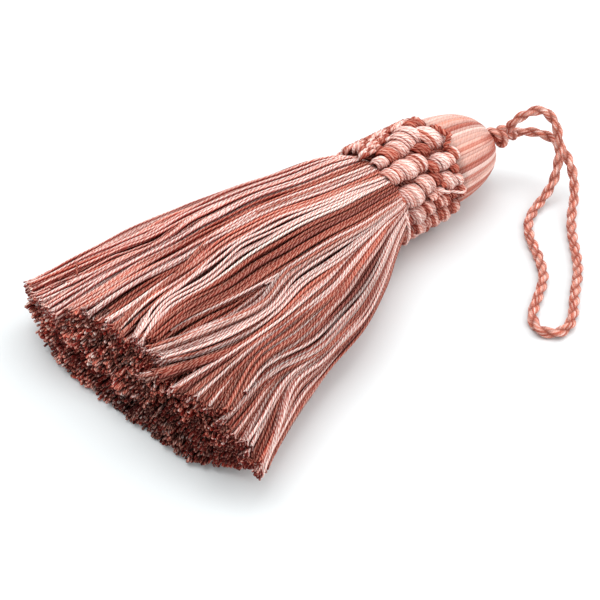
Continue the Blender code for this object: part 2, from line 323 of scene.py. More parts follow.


# Loop of cord, made before the rest
# Its plies by their strands' dyes; deep between the plies a strand is painted darker and salmon, as
# painted shade: it keeps a little of its own dye, and salmon comes in
ropeSet = {"letters": ("gpsmwsgpm", "pmgwmpsgt"), "strandPitch": 5.6, "own": 0.06, "salmon": 0.6}
cordSet = {
    **ropeSet, "diameter": 2.4, "plyPitch": 7.6, "plyOff": 0.47, "strandOff": 0.53, "strandRadius": 0.23,
    "step": 0.43,
    "route": (
        (31.2, -1.6, 12.4), (30.7, -2.3, 14.4), (30.6, -3.2, 16.4), (31.8, -4.6, 18.4), (33.9, -6.5, 20.0),
        (36.3, -7.8, 19.3), (37.4, -9.6, 17.6), (37.4, -11.3, 15.6), (36.8, -12.7, 13.5),
        (36.1, -13.9, 10.9), (35.0, -14.9, 8.2), (33.0, -15.9, 5.0), (29.7, -16.6, 2.6),
        (25.2, -17.6, 1.5), (20.4, -20.1, 1.25), (16.5, -24.1, 1.25), (13.9, -28.2, 1.25),
        (11.3, -32.0, 1.25), (8.4, -35.3, 1.25), (4.5, -37.9, 1.25), (0.3, -40.2, 1.25),
        (-3.4, -42.6, 1.25), (-5.2, -45.9, 1.25), (-3.7, -48.9, 1.25), (-0.2, -49.5, 1.25),
        (3.9, -47.6, 1.25), (7.6, -44.8, 1.25), (11.6, -41.9, 1.25), (15.6, -39.1, 1.25),
        (19.3, -35.6, 1.25), (22.8, -31.8, 1.25), (26.3, -28.1, 1.4), (30.1, -24.8, 2.2),
        (33.5, -22.3, 3.6), (35.7, -20.0, 5.6), (37.2, -17.7, 7.5), (38.2, -15.0, 9.3),
        (38.7, -12.2, 10.7), (38.4, -9.7, 11.8), (37.4, -7.4, 12.4), (35.6, -5.2, 12.7),
        (33.3, -3.1, 12.5), (31.9, -2.1, 12.3),
    ),
}


# Strands wound round a line: each runs at off x (cos a x out + sin a x across) from it, with
# a = 2 pi x (length / pitch + its share of a turn)
def plies(line, outward, count, pitch, off, phase=0.0, turnsWith=1.0):
    along, out, across = axesAlong(line, outward)
    a = 2 * np.pi * (turnsWith * farAlong(line)[None] / pitch + np.arange(count)[:, None] / count + phase)
    arm = np.cos(a)[..., None] * out + np.sin(a)[..., None] * across
    return line + off * arm, arm


# A direction square to the line that is carried along it without turning round it
def carriedFrame(line):
    along = unit(np.gradient(line, axis=0))
    carried = [unit(np.cross(along[0], [0.3, 0.2, 1.0]))]
    for step in along[1:]:
        last = carried[-1]
        carried.append(unit(last - np.dot(last, step) * step))
    return np.array(carried)


# One dye a strand, drifting a little along its length
def strandShade(count, m, letters, rng):
    base = np.array([dyes[letters[k % len(letters)]] for k in range(count)])[:, None]
    drift = 1 + 0.12 * np.sin(np.linspace(0, 9, m)[None] * rng.uniform(0.4, 1.2, (count, 1))
                                + rng.uniform(0, 6.28, (count, 1)))
    return base * drift[..., None] * rng.uniform(0.92, 1.06, (count, 1, 1))


# Rope of two plies along a line, each wound from smaller strands, painted darker and salmon towards its
# middle as painted shade
def rope(line, v, rng):
    carried = carriedFrame(line)
    parts = []
    for ply, letters in enumerate(v["letters"]):
        centre, arm = plies(line, carried, 1, v["plyPitch"], v["plyOff"],
                            phase=ply / len(v["letters"]))
        strands, out = plies(centre[0], carriedFrame(centre[0]), len(letters), v["strandPitch"],
                             v["strandOff"], phase=0.1 * ply, turnsWith=-1.0)
        shade = strandShade(len(letters), len(line), letters, rng)
        # painted shade deep between the plies, where the strands come near the rope's line
        inside = (1 - ease(np.linalg.norm(strands - line, axis=-1), 0.55, 1.08))[..., None]
        creaseShade = v["own"] * shade + v["salmon"] * np.array(dyes["s"])
        shade = shade * (1 - inside) + creaseShade * inside
        parts.append(sweep(strands, out, np.full(strands.shape[:2], v["strandRadius"]), shade))
    return parts


def makeCord(v, material):
    rng = np.random.default_rng(4)
    roughLength = evenLine(v["route"], 800)[1]
    line, length = evenLine(v["route"], int(roughLength / v["step"]))
    cord = makePiece("loop_cord", rope(line, v, rng), material, ["loop"])
    print(f"cord {length:.1f} mm long")


# this also sets the painted shade and painted glint of the cord's and the knot's yarn
cordFinish = yarnFinish("cord yarn", pitch=0.6, count=2.0, groove=0.3, sideShade=0.5, strength=0.5,
                        deep=0.08, paintedGlint=0.4, rough=0.62, tip=0.9)
makeCord(cordSet, cordFinish)


# Lifts a path so that tubes of this radius lie on the table
def lift(path, radius):
    path[..., 2] = np.maximum(path[..., 2], radius + 0.02)
    return path


# A wave along each yarn, each with a pace of its own
def waves(s, rng, slow, fast):
    count = (len(s), 1)
    return np.sin(s * rng.uniform(slow, fast, count) + rng.uniform(0, 6.3, count))


# Skirt
skirtSet = {
    "reach": 73.5, "short": 0.15, "back": -12.6, "skew": 2.3, "yarn": 0.68, "layer": 0.7,
    "boreDepth": 2.4, "boreMost": 2.3,  # how far it is drawn in inside the collar
    "start": -0.03,                     # its yarns start this far inside the collar
    "settled": 0.2, "centre": 0.47,     # along, and the height of its middle by then, of its top
    "under": 0.42,                      # its underside's height over the table
    # how far along the yarns are cut, by their turn from the top
    "cutTurn": (-90, -45, -25, -10, 5, 20, 45, 60, 80, 100),
    "cutAt": (0.975, 0.993, 0.995, 0.965, 0.935, 0.925, 0.95, 0.975, 1.0, 1.01),
    # and by their place across for the lowest of them
    "lowSide": (-40, -34, -25, -18, -9, 0, 8, 15, 18.5, 25, 30),
    "lowCut": (1.01, 1.012, 1.015, 1.0, 1.0, 1.01, 1.03, 1.03, 1.02, 1.005, 0.99),
    "along": (0.0, 0.06, 0.13, 0.26, 0.43, 0.65, 0.84, 1.0),
    "side": (0.0, -0.5, -0.9, -2.0, -3.4, -3.9, -6.2, -8.6),
    "half": (11.1, 12.6, 14.8, 19.3, 24.0, 28.0, 31.0, 33.6),
    "top": (23.2, 23.0, 22.7, 21.8, 20.4, 18.8, 17.6, 16.4),
    "square": (2.0, 2.05, 2.1, 2.15, 2.25, 2.35, 2.45, 2.6),
}


# A point of the skirt: its section at along is a squared-off oval, y = side + (half - depth) x
# sin(turn)^(2/n), z = middle + (rise - depth) x cos(turn)^(2/n), and x runs from the collar's edge
# back by reach x along, less on the right. turn is in degrees from the top to the right.
def skirtPoint(along, turn, depth):
    v = skirtSet
    side, half, top, n = (smoothTable(along, v["along"], v[k]) for k in ("side", "half", "top", "square"))
    mid = axisHeight + (v["centre"] * top - axisHeight) * np.clip(along / v["settled"], 0, 1)
    angle = np.radians(turn)
    across = -signedPower(np.sin(angle), 2.0 / n)
    upward = signedPower(np.cos(angle), 2.0 / n)
    neck = v["boreDepth"] * np.clip(1 - (along + 0.01) / 0.055, 0, 1) ** 2
    neck = np.minimum(neck, v["boreMost"])
    wide = np.maximum(half - depth - neck, 0.3)
    rise = np.maximum(top - mid - depth - neck, 0.2)
    drop = np.minimum(rise, np.maximum(mid - v["under"] - np.maximum(depth - 0.4, 0.0), 0.2))
    y = side + wide * across
    z = mid + np.where(upward > 0, rise, drop) * upward
    share = np.clip((y - side) / half, -1.0, 1.0)
    reach = v["reach"] * (1 - v["short"] * np.maximum(0.0, -share) ** 1.5)
    back = v["back"] - v["skew"] * share
    return together(back - (reach + back - v["back"]) * along, y, z)


def skirtOutward(along, turn, depth):
    return unit(skirtPoint(along, turn, depth - 0.1) - skirtPoint(along, turn, depth + 0.1) + 1e-9)


# Every lock on the top and sides, from the far edge over the top to the near edge: its left and right
# edge as turns at the stations, its yarns' dyes from left to right (after >, near the cut ends), how far
# it stands out near the collar, half way and near its end, and how far along it is cut.
stations = (0.05, 0.2, 0.35, 0.5, 0.65, 0.8, 0.95)
farLocks = (
    ((-92,) * 7, (-70, -72, -74, -70, -68, -68, -68),
     "pwpswp", (0.6, 0.6, 0.2), 0.985),
    ((-70, -72, -74, -70, -68, -68, -68), (-52, -54, -56, -50, -50, -52, -55),
     "wwwpwp", (1.8, 1.4, 0.3), 0.998),
    ((-52, -54, -56, -50, -50, -52, -55), (-40, -46, -48, -45, -45, -47, -51),
     "sht>ppw", (1.6, 0.8, 0.2), 0.998),
    ((-40, -46, -48, -45, -45, -47, -51), (-24, -31, -40, -40, -34, -41, -47),
     "mpwpwp>wwwpsp", (1.5, 1.0, 0.6), 1.015),
    ((-24, -30, -38, -39, -32, -38.5, -45), (-23, -29, -36, -37, -27.5, -31.5, -35),
     "tsms>pssp", (0.0, -0.2, -0.1), 1.02),
    ((-24, -29, -37, -39, -26, -30.5, -35), (-4, -10.5, -19.5, -19.5, -18.5, -21.5, -22),
     "wwgwpwwwp", (1.3, 1.2, 0.7), 1.025),
    ((-40, -38, -45, -40, -27, -31, -35), (-39, -37, -43.5, -38.5, -25.5, -30, -34),
     "s", (0.2, 0.7, 0.7), 0.93),
    ((-4, -10.5, -19.5, -19.5, -18.5, -21.5, -21.5), (5, -5, -13.5, -14.5, -13, -15.5, -17),
     "tsmt>mpms", (0.1, 0.5, 0.3), 0.985),
    ((5, -5, -13.5, -13.5, -12.5, -15, -17), (14.5, 3, -6.5, -9.5, -9.5, -12, -12.5),
     "wgww", (0.4, 0.8, 0.6), 0.96),
    ((6, -4, -11, -14.2, -7.5, -5.5, -4), (7.5, -2.5, -9.5, -12.5, -5.5, -3.5, -2),
     "ss", (-0.4, 1.0, 0.5), 0.94),
    ((14, 4, -6, -9.5, -10, -11.5, -11), (16, 6, -5, -8, -7.5, -7.5, -8),
     "th>tt", (-0.4, -0.2, 0.0), 0.95),
    ((15, 4, -6, -9.5, -7.5, -7.2, -8), (25, 9, -1.5, -4.5, -2.2, -2.8, -2),
     "stms>wstw", (0.2, 0.6, 0.3), 0.94),
    ((24, 8, -2.5, -5, -2.6, -2.8, -2), (25, 9, -1.7, -4.2, -1.6, -0.6, 1.5),
     "st", (-0.4, -0.2, 0.1), 0.94),
    ((25, 8.5, -2.5, -4.7, -2, -1.5, 1.5), (33.5, 20.5, 9.5, 5.2, 5, 2, 4.5),
     "wwww", (0.5, 1.0, 0.8), 0.925),
)
middleLocks = (
    ((33, 21, 9.5, 5, 4.8, 2, 3), (54, 38.5, 26, 20.3, 17.5, 10, 7),
     "tstthttstt>tsthtththt", (0.2, 0.5, 0.1), 0.9),
    ((51, 37, 25, 20.2, 16, 8.6, 5), (52, 38, 26, 21.2, 17, 9.4, 6),
     "w", (0.0, 0.6, 0.3), 0.84),
    ((50, 37, 24, 20.3, 17.5, 11, 8), (52, 38, 25.5, 22, 22.5, 21, 18),
     "thtgtht", (-0.5, -0.9, -1.0), 0.95),
    ((54, 39, 26.5, 21, 23.8, 15, 5), (58.5, 44.5, 32, 25.5, 28.5, 20, 9.5),
     "wswpw", (0.8, 1.6, 1.8), 0.935),
    ((58.5, 44, 32, 26, 28.5, 19.7, 9), (60, 45.5, 33.8, 28, 30.3, 22.5, 11),
     "tw", (0.3, 1.0, 1.6), 0.93),
)
nearLocks = (
    ((60, 45.5, 36, 29, 30, 23, 10.5), (62.5, 49, 40.3, 33.5, 34.2, 28, 14),
     "wtw", (0.6, 1.3, 1.7), 0.94),
    ((62, 48.5, 40, 34, 34.5, 28.5, 13.5), (64, 50, 41.5, 37.3, 37, 32.5, 19),
     "tsht>stth", (-0.2, 0.2, 0.9), 0.975),
    ((63, 49.5, 41.5, 37.5, 37, 30, 15), (64, 50.5, 42.5, 38.5, 38, 32, 17.5),
     "wm", (-0.3, -0.2, 0.6), 1.0),
    ((64, 50, 42, 39, 37.5, 31, 22), (66, 53, 48, 46.5, 44, 40, 39.5),
     "wthwtstwttwt>wthtswtttwts", (0.1, 0.6, 0.9), 0.985),
    ((66, 53, 48, 46.5, 44, 39.5, 40), (67.5, 55, 50.5, 50, 48.5, 41, 44),
     "tsts>ssts", (0.1, 0.4, 0.9), 0.975),
    ((67.5, 55, 50.5, 49.8, 48.3, 40.5, 43.5), (68.5, 56, 51.7, 51, 49.7, 42, 45),
     "w", (0.2, 0.8, 0.9), 0.9),
    ((66, 55.5, 51.5, 51, 49.7, 42, 44.5), (67, 57, 52.5, 53.3, 53, 45, 46),
     "sst", (0.1, 0.5, 0.7), 0.965),
    ((64, 56.5, 52.3, 52.3, 53, 45.3, 45.5), (67, 59, 54, 54.2, 55, 47, 46.3),
     "wg>tg", (0.6, 0.9, 0.0), 0.93),
    ((67.5, 60, 55.5, 55, 56, 47.5, 46), (71, 64, 61.5, 59.8, 59, 50.5, 47),
     "ththst", (0.0, 0.3, -0.8), 0.95),
    ((71, 64, 62.5, 59.5, 58.8, 47, 46), (72, 66, 64.2, 61.5, 60.8, 48.5, 47),
     "wp", (0.4, 0.9, 0.4), 0.9),
    ((72, 66, 65.3, 63.5, 64, 51, 45.7), (74, 69.5, 69.5, 69, 67, 53.3, 47.8),
     "wgtwg", (0.5, 1.1, 0.9), 1.0),
    ((73, 67, 66, 64, 62.5, 49, 47.5), (74, 69, 68, 67, 64, 51, 49.5),
     "th", (-0.5, -0.3, 0.4), 1.0),
    ((74, 69.5, 70, 69.5, 67.2, 53.5, 48.5), (77, 74, 74.5, 73.5, 72.3, 58, 57),
     "ttshtst>tttgtst", (0.2, 0.5, 0.5), 1.02),
    ((77, 74, 74.5, 73.7, 69, 58, 57.5), (78, 75, 75.7, 74.7, 72, 62.5, 63.5),
     "gwtw", (-0.2, 0.0, 0.8), 1.02),
    ((78, 74.5, 75, 75, 71, 62.5, 64), (79, 75.5, 76, 76, 73, 64.5, 74),
     "gtstt", (-0.5, -0.4, 0.0), 1.035),
    ((78, 75, 75, 75, 73.5, 64, 74), (81, 79, 78.7, 79, 77, 67, 79),
     "gwtwg", (0.4, 0.9, 1.2), 1.045),
    ((81, 79, 79, 79.5, 77.5, 67.5, 73), (88, 86, 85, 86, 84, 75, 80),
     "tstththt>tstgtgst", (0.2, 0.5, 0.5), 1.03),
    ((88, 86, 85, 86, 85, 76, 80), (99, 97, 95, 95, 96, 93, 93),
     "gstgsgst>wgsgtswp", (0.0, 0.1, 0.6), 1.01),
)


# Hollows between the locks, sunk and painted darker (painted shade): how far along, turn, their length and
# breadth and how deep they are
hollows = np.array((
    (0.68, 20.5, 0.08, 1.8, 0.8), (0.76, 8.0, 0.05, 1.6, 0.9), (0.93, 20.5, 0.06, 1.6, 1.3),
    (0.5, 2.5, 0.1, 0.8, 0.7), (0.3, 38.0, 0.05, 1.2, 0.8), (0.4, 32.0, 0.06, 1.3, 0.9),
    (0.53, 28.0, 0.06, 1.3, 0.9), (0.2, 46.5, 0.06, 1.5, 0.8), (0.2, 58.5, 0.06, 1.3, 0.9),
    (0.4, 54.0, 0.07, 1.2, 0.9), (0.65, 55.5, 0.06, 1.4, 0.9), (0.75, 50.0, 0.05, 1.5, 1.1),
    (0.81, 47.0, 0.04, 1.5, 1.0), (0.38, 65.0, 0.06, 1.1, 0.9), (0.6, 63.3, 0.05, 1.1, 0.8),
    (0.7, 59.0, 0.04, 1.3, 0.9), (0.75, 54.0, 0.04, 1.5, 0.9), (0.94, 63.0, 0.05, 1.6, 1.2),
    (0.58, -47.0, 0.13, 1.3, 0.8), (0.59, -30.5, 0.04, 1.2, 0.8), (0.65, -31.5, 0.04, 1.2, 0.8),
    (0.72, -35.0, 0.05, 1.3, 0.8), (0.72, -28.0, 0.05, 1.2, 0.8), (0.83, -32.0, 0.05, 1.3, 0.8),
    (0.88, 12.0, 0.05, 1.2, 0.8), (0.85, 33.0, 0.05, 1.2, 0.8),
))


# Their depth at a place: the sum of deep x exp(-(along off / length)^2 - (turn off / breadth)^2)
def hollowAt(s, turn):
    a, t, da, dt, deep = hollows.T
    near = np.exp(-((s[..., None] - a) / da) ** 2 - ((turn[..., None] - t) / dt) ** 2)
    return np.sum(near * deep, -1)


# How far along a yarn of the bundle is cut. The cut face runs on smoothly from its upper edge, where
# the place across stands for a turn of the outer surface, down to the lowest yarns.
def cutAlong(turn, depth):
    v = skirtSet
    place = skirtPoint(0.97 + 0 * turn, turn, depth)
    share = np.clip((place[..., 1] - v["side"][-1]) / v["half"][-1], -1.0, 1.0)
    outer = np.degrees(np.arcsin(signedPower(-share, v["square"][-1] / 2.0)))
    cut = smoothTable(outer, v["cutTurn"], v["cutAt"])
    low = smoothTable(np.clip(place[..., 1], -40, 30), v["lowSide"], v["lowCut"])
    return low + (cut - low) * np.clip((place[..., 2] - 1.5) / 13.5, 0, 1) + 0.003


lockSet = {
    "more": 1.25,                             # yarns for each letter, where there are three or more
    "points": 60, "lowerPoints": 34,
    "levels": (0.0, 1.0, -0.35, 0.75),        # how the yarns stack where they have too little room
    "tuft": 2.9, "drawn": 0.3,                # degrees, and how far ends are drawn to their tuft's middle
    "wander": 0.45, "curl": 0.24,             # degrees to the side
    "sink": 0.3, "lift": 0.08, "fold": 0.26,  # mm up and down
    "spread": 1.3,                            # thickness of the last ring
}
cutEnds = []


# The yarns of one lock. The lower ones fill the gaps between those above, and are painted darker as painted
# shade.
def lockYarns(lock, rng, light=1.0, folds=0.3, lower=False):
    left, right, letters, rises, cut = lock
    v, yarn = lockSet, skirtSet["yarn"]
    letters, _, endLetters = letters.partition(">")
    n = len(letters) if len(letters) < 3 else round(len(letters) * v["more"])
    m = v["lowerPoints"] if lower else v["points"]
    end = cut + rng.uniform(-0.004, 0.004, (n, 1)) + (0.006 if lower else 0.0)
    s = skirtSet["start"] + (end - skirtSet["start"]) * np.linspace(0, 1, m)[None]
    place = np.arange(n)[:, None]
    share = (place + (0.5 + 0.35 * (-1.0) ** place if lower else 0.5)) / n
    a, b = smoothTable(s, stations, left), smoothTable(s, stations, right)
    turn = a + (b - a) * share
    flat = skirtPoint(s, turn, 0.4)
    gap = np.linalg.norm(np.diff(flat, axis=0), axis=-1).mean(0) if n > 1 else np.full(m, yarn)
    stack = np.sqrt(np.maximum(yarn ** 2 - gap ** 2, 0))
    level = np.array(v["levels"])[(place + rng.integers(0, 2)) % 4]
    rise = smoothTable(s, (0.1, 0.5, 0.9), rises)
    crown = 1 - 0.8 * (2 * share - 1) ** 2
    sunk = hollowAt(s, turn)
    depth = 0.36 - rise * (0.35 + 0.65 * crown) * ease(s, -0.02, 0.12) - stack * level
    depth = depth + (0.55 + 0.6 * sunk if lower else 0.25 * sunk)
    wander, sink, curl = (rng.uniform(-1, 1, (n, 1)) * waves(s, rng, *pace)
                          for pace in ((9, 16), (7, 13), (22, 40)))
    grow = ease(s, 0.05, 0.5)
    fold = np.sin(place * rng.uniform(1.0, 1.7) + rng.uniform(0, 6.3) + 1.6 * np.sin(s * rng.uniform(3, 7)))
    fold = fold * (0.3 + 0.7 * grow)
    turn = turn + (wander * v["wander"] + curl * v["curl"]) * grow
    middle = (np.floor(turn[:, -1:] / v["tuft"]) + 0.5) * v["tuft"]
    turn = turn + (middle - turn[:, -1:]) * v["drawn"] * ease(s / end, 0.95, 1.0)
    depth = depth + (sink * v["sink"] + curl * v["lift"]) * grow + v["fold"] * fold
    size = np.full((n, m), yarn / 2) * rng.uniform(0.85, 1.03, (n, 1))
    size[:, -1] *= v["spread"]
    path = lift(skirtPoint(s, turn, depth), size)
    one, two = dyed(letters, n), dyed(endLetters or letters, n)
    shade = one + (two - one) * ease(s, 0.55, 0.85)[..., None]
    # painted shade: the lower yarns, under the others, are darkened and turned towards terracotta
    if lower:
        shade = shade * 0.42 + np.array(dyes["t"]) * 0.42
    # painted shade in the hollows between the locks
    shade = shade * (1 - np.minimum(sunk, 1.2) * (0.5 if lower else 0.3))[..., None]
    shade = shade * (1 + 0.12 * waves(s, rng, 5, 14))[..., None]
    # painted light: lighter for the far locks, darker for the near ones; painted shade in the valleys of
    # the folds
    shade = shade * (light - folds * np.maximum(fold, 0))[..., None]
    shade = shade * rng.uniform(0.76, 1.1, (n, 1, 1)) * (1 - 0.15 * ease(s / end, 0.985, 1.0))[..., None]
    cutEnds.append((path[:, -2:], shade[:, -6]))
    return sweep(path, skirtOutward(s, turn, depth), size, shade, sides=5 if lower else 8,
                 tipShade=rng.uniform(0.5, 1.1, (n, 1, 1)))


# One layer of the skirt below the locks: yarns at even turns, gathered into bunches. The lower in the
# cut face, the longer they are.
def baseRing(ring, rng, count, m, sides, letters):
    start, layer = skirtSet["start"], skirtSet["layer"]
    turn0 = (np.arange(count) + 0.5 * (ring % 2) + rng.uniform(-0.3, 0.3, count))[:, None] * 360 / count
    turn0 = (turn0 + 180.0) % 360.0 - 180.0
    bunch = 17.0 + 3.0 * math.sin(ring)
    middle = (np.floor((turn0 + ring * 5.0) / bunch) + 0.5) * bunch - ring * 5.0
    back = 1 - ease(np.abs(turn0), 78, 100)
    end = cutAlong(turn0, 0.4 + layer * ring) - 0.007 + rng.uniform(-0.002, 0.002, (count, 1))
    s = start + (end - start) * np.linspace(0, 1, m)[None]
    grow = ease(s, 0.15, 1.0)
    turn = turn0 + (middle - turn0) * 0.06 * grow
    turn = turn + 1.2 * grow * np.sin(5.2 * s + 0.045 * middle + 1.3 * np.sin(0.11 * middle))
    turn = turn + rng.uniform(-0.7, 0.7, (count, 1)) * grow
    inside = (turn0 - middle) / bunch
    depth = 0.42 + layer * ring + back * 1.05 + 0.4 * grow * (2 * inside) ** 2 * (1 - back)
    depth = depth + rng.uniform(-0.12, 0.12, (count, 1))
    sunk = hollowAt(s, turn) * (ring == 0) * (1 - ease(s, 0.85, 0.95))
    depth = depth * (1 + 0.16 * (1 - ease(s, 0.0, 0.35))) + sunk * 0.8
    size = np.full((count, m), skirtSet["yarn"] / 2 * 1.04)
    shade = dyed(rng.choice(list(letters), count), count) * rng.uniform(0.8, 1.08, (count, 1, 1))
    shade = shade * (1 + 0.12 * np.sin(s * 8 + rng.uniform(0, 6.3, (count, 1))))[..., None]
    # painted shade: yarns buried under the locks are darkened by up to half, less near the cut, and more in
    # the hollows
    buriedShade = (back if ring == 0 else 1.0) * (1 - 0.35 * ease(s, 0.9, 0.99))
    shade = shade * (1 - 0.5 * buriedShade)[..., None] * (1 - 0.4 * np.minimum(sunk, 1.0))[..., None]
    return sweep(lift(skirtPoint(s, turn, depth), size), skirtOutward(s, turn, depth), size, shade, sides)


# The cut face
cutSet = {
    "close": 0.7, "layers": 12,              # how close its ends stand, and how deep they go
    "nub": (0.27, 0.31, 0.3), "ply": (0.19, 0.25, 0.22), "plyTone": (0.85, 1.0, 1.2),
    "out": (0.012, 0.021),                   # how far small and wide clumps stand out
    # light: how much lighter the clumps that stand out are painted (painted light)
    "light": (0.62, 0.98),                   # and how much lighter they are
    "edgeBack": 0.011, "grooveBack": 0.016,  # how far its upper edge and its groove lie back
    # specks: the share of nubs whose tips carry a painted highlight
    "bend": 0.19, "specks": 0.16,
}


# The three plies that open out of each lock yarn's end: short blunt nubs
def cutPlies(rng):
    v = cutSet
    path, shade = (np.concatenate(group) for group in zip(*cutEnds))
    pick = np.repeat(np.arange(len(path)), 3)
    n = len(pick)
    ahead = unit(path[pick, 1] - path[pick, 0])
    turn = 2 * np.pi * (np.arange(n) / 3 + rng.uniform(0, 1, len(path))[pick])[:, None]
    up = np.array([0.0, 0.0, 1.0])
    aside = np.cos(turn) * unit(np.cross(ahead, up)) + np.sin(turn) * up
    start = path[pick, 1] + aside * 0.16 - ahead * 0.4
    mid = start + ahead * 0.5 + aside * 0.05
    away = ahead + aside * rng.uniform(0.1, 0.9, (n, 1))
    tip = mid + away * rng.uniform(0.2, 0.8, (n, 1))
    line = lift(np.stack([start, mid, tip], 1), 0.18)
    size = np.array(v["ply"]) * rng.uniform(0.85, 1.15, (n, 1))
    tone = shade[pick, None] * np.array(v["plyTone"])[:, None]
    tone = tone * rng.uniform(0.7, 1.2, (n, 1, 1))
    tips = rng.uniform(0.8, 1.5, (n, 1, 1))
    return sweep(line, aside[:, None] + 0 * line, size, tone, sides=4, tipShade=tips, tipOut=0.6)


# The ends of plies side by side all over the cut face, in clumps that stand out. The clumps are painted
# lighter (painted light);
# recesses, groove, lower part and each nub's root are painted darker (painted shade), and a few tips carry
# a painted highlight.
def cutNubs(rng):
    v, close = cutSet, cutSet["close"]
    turns, depths = [], []
    for layer in range(v["layers"]):
        around = np.linspace(-180, 180, 1441)
        far = farAlong(skirtPoint(1.0, around, 0.4 + close * layer)[:, 1:])
        count = int(far[-1] / close)
        place = (np.arange(count) + rng.uniform(0.0, 1.0, count)) * far[-1] / count
        turns.append(np.interp(place, far, around))
        depths.append(0.4 + close * (layer + rng.uniform(-0.4, 0.4, count)))
    turn, depth = np.concatenate(turns)[:, None], np.concatenate(depths)[:, None]
    n = len(turn)
    end = cutAlong(turn, depth) + rng.uniform(-0.004, 0.002, (n, 1))
    side, up = skirtPoint(end, turn, depth)[:, 0, 1:].T
    clump = np.sin(side * 1.5 + 2.0 * np.sin(up * 1.1)) * np.sin(up * 1.9 + 1.5 * np.sin(side * 0.8))
    wide = np.sin(side * 0.52 + 1.4 * np.sin(up * 0.45)) * np.sin(up * 0.6 + side * 0.31)
    edge = ease(depth[:, 0], 2.6, 0.4) * ease(up, 7.0, 12.0)  # 1 along the upper edge
    # a groove between the lowest layer and those above it: it lies back and is painted darker (painted
    # shade)
    groove = np.exp(-((up - 4.6 - 1.3 * np.sin(side * 0.23)) / 1.15) ** 2) * ease(side, 16.0, 6.0)
    uneven = (v["out"][0] * clump + v["out"][1] * wide * (1 - edge)) * ease(up, -2.0, 6.0)
    end = end + (uneven - v["edgeBack"] * edge - v["grooveBack"] * groove)[:, None]
    path = skirtPoint(end + np.array([-0.045, -0.006, 0.0]), turn, depth)
    path = lift(path + rng.normal(0, v["bend"], (n, 1, 3)) * np.array([0.0, 0.4, 1.0])[:, None], 0.18)
    size = np.array(v["nub"]) * rng.uniform(0.75, 1.25, (n, 1))
    # towards the far side and the upper edge the dyes are paler (their own colour), and they are also
    # painted lighter (painted light)
    pale = np.clip(ease(side, -14.0, 20.0) + 0.7 * edge, 0, 1)  # paler towards the far side
    farSide = ease(side, 17.0, 29.0)
    # painted shade: darker towards the bottom, most on the near side
    lowShade = 1 - (0.34 + 0.32 * ease(side, 8.0, -12.0)) * ease(up, 12.0, 3.5)
    chance = rng.random(n) * (1 - 0.3 * pale)
    body = dyed("phtths", 6)[np.digitize(chance, (0.1, 0.3, 0.55, 0.78, 0.86)), 0]
    chance = rng.random(n) * (1 - 0.45 * pale) * (1 - 0.4 * ease(side, 8.0, 24.0))
    tips = dyed("wpmst", 5)[np.digitize(chance, (0.1, 0.19, 0.38, 0.7)), 0]
    body = 0.6 * body + 0.4 * np.array([0.3, 0.075, 0.05])
    # painted light on the clumps that stand out, painted shade in the recesses and in the groove
    lumpShading = ((0.9 + v["light"][0] * clump + v["light"][1] * wide) * lowShade * (1 - 0.75 * groove))[:, None]
    body = body * np.maximum(lumpShading, 0.12) * rng.uniform(0.6, 1.15, (n, 1))
    # painted light on the far side and along the upper edge
    body = body * (1 + 0.8 * pale + 0.9 * farSide)[:, None]
    tips = tips * np.clip(lumpShading * 1.1, 0.25, 1.3) * (1 + 0.25 * pale + 0.5 * farSide)[:, None]
    # painted highlight: a few nubs carry their light tip colour on the middle ring too
    speck = (rng.random((n, 1)) < v["specks"]) * 0.6
    # each nub is dark at its root and light at its tip: painted shade deep among the ends, painted
    # highlight on the tips
    shade = np.stack([body * 0.2, body * 0.5 + speck * tips, body * 0.25 + tips * 0.8], 1)
    bright = tips[:, None] / np.maximum(shade[:, -1:], 0.01)
    # random outward directions turn the material's painted side shade differently on each nub
    lookout = rng.normal(0, 1, (n, 1, 3)) + np.array([0.0, 0.0, 0.7])
    shade = np.minimum(shade, 0.95)
    return sweep(path, lookout + 0 * path, size, shade, sides=5, tipShade=bright, tipOut=0.5)


# Single yarns: their points in the three coordinates that point and outward take, dye and radius
def looseYarns(table, count, point, outward, sides):
    parts = []
    for points, dye, size in table:
        place = evenLine(points, count)[0].T
        shade = np.array(dyes[dye]) * np.ones((1, count, 1))
        parts.append(sweep(point(*place)[None], outward(*place)[None], np.full((1, count), size), shade,
                           sides=sides))
    return parts


# Those that have strayed over the skirt, by along, turn and depth
strays = (
    (((0.8, -66, 0.0), (0.83, -60, -0.5), (0.86, -50, -0.9), (0.885, -41, -1.0), (0.9, -37, -0.6)),
     "t", 0.22),
    (((0.815, -62, 0.0), (0.84, -57, -0.4), (0.865, -49, -0.7), (0.88, -44, -0.8)), "t", 0.2),
    (((0.92, -43, -0.5), (0.93, -41.5, -0.8), (0.945, -41, -0.6)), "t", 0.18),
    (((0.3, 30, -0.4), (0.36, 28, -0.9), (0.42, 25, -1.0), (0.5, 23.5, -0.9), (0.58, 20, -0.2)),
     "w", 0.24),
)


